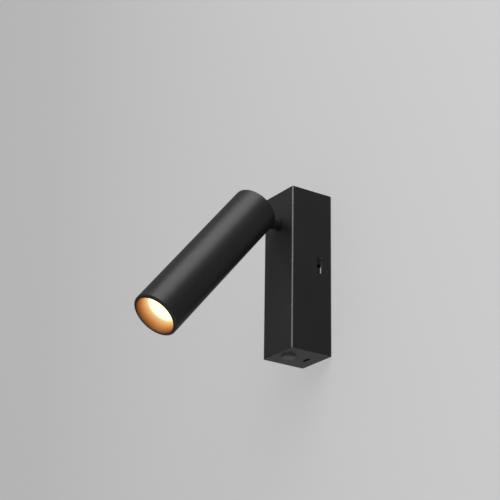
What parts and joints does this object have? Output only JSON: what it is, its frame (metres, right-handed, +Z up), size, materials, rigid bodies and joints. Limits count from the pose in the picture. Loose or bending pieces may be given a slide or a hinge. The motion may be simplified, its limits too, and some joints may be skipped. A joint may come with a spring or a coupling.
{
  "type": "wall spotlight",
  "caption": "Wall reading spotlight: square box with side rocker, push button and power socket below, and a round head that tilts on a swivelling stem.",
  "frame": {"origin": "middle of the wall bracket's two screw slots, on the wall plane", "axes": "+Y into the wall, +Z up, +X to the right as seen from the room, on the side with the rocker switch"},
  "size_m": [0.0407, 0.1711, 0.1459],
  "materials": {
    "black_coat": "fine matte black powder coat",
    "black_stem": "matte black coat",
    "zinc_steel": "zinc plated",
    "black_steel": "black oxide",
    "bare_aluminium": "machined",
    "black_rubber": "matte",
    "foam_pad": "matte foam",
    "natural_plastic": "natural, unfilled",
    "driver_white": "moulded",
    "lead_grey": "soft sheath",
    "brass": "turned",
    "board_green": "solder mask",
    "board_white": "white solder mask",
    "socket_steel": "satin",
    "black_plastic": "moulded",
    "switch_black": "smooth moulded",
    "button_black": "matte black coat",
    "led_phosphor": "phosphor",
    "lens_clear": "clear moulded, lit warm white",
    "baffle_bronze": "satin bronze inside"
  },
  "bodies": {
    "housing": {"housing_shell": "black_coat", "top_cap": "black_coat", "bottom_cap": "black_coat", "wall_bracket": "zinc_steel", "lock_screw": "black_steel", "cable_bush": "black_rubber", "stem_plate": "zinc_steel", "stem_bush": "natural_plastic", "stop_pin": "zinc_steel", "led_driver": "driver_white", "driver_pad": "foam_pad", "driver_lead": "lead_grey", "terminal_block": "driver_white", "terminal_screws": "brass", "earth_screw": "brass", "earth_tag": "brass", "control_board": "board_green", "board_screws": "zinc_steel", "usb_socket": "socket_steel", "usb_tongue": "black_plastic", "button_switch": "black_plastic", "switch_body": "switch_black", "switch_terminals": "brass"},
    "rocker": {"rocker": "switch_black"},
    "button": {"push_button": "button_black"},
    "arm": {"swivel_stem": "black_stem", "friction_washer": "natural_plastic", "spring_washer": "zinc_steel", "stop_washer": "zinc_steel", "stem_nut": "zinc_steel", "stem_lead": "lead_grey"},
    "head": {"head_tube": "black_coat", "rear_cap": "black_coat", "cap_screws": "black_steel", "hinge_block": "bare_aluminium", "hinge_screw": "black_steel", "hinge_nut": "zinc_steel", "friction_discs": "natural_plastic", "heat_sink": "bare_aluminium", "led_board": "board_white", "led_board_screws": "zinc_steel", "led_chip": "led_phosphor", "lens_holder": "black_plastic", "optic_lens": "lens_clear", "baffle": "baffle_bronze", "head_lead": "lead_grey"}
  },
  "joints": [
    {"name": "arm_swivel", "type": "hinge", "parent": "housing", "child": "arm", "pos_m": [0, -0.04, 0.04215], "axis": [0, 1, 0], "range_deg": [-165, 165]},
    {"name": "head_tilt", "type": "hinge", "parent": "arm", "child": "head", "pos_m": [0, -0.0704, 0.04215], "axis": [-1, 0, 0], "range_deg": [-39.1, 50.9]},
    {"name": "rocker_switch", "type": "hinge", "parent": "housing", "child": "rocker", "pos_m": [0.0164, -0.0128, 0.00605], "axis": [0, 1, 0], "range_deg": [-18, 0]},
    {"name": "button_press", "type": "slide", "parent": "housing", "child": "button", "axis": [0, 0, 1], "range_m": [0, 0.001], "stiffness_N_per_m": 1500, "springref_m": -0.0003}
  ]
}
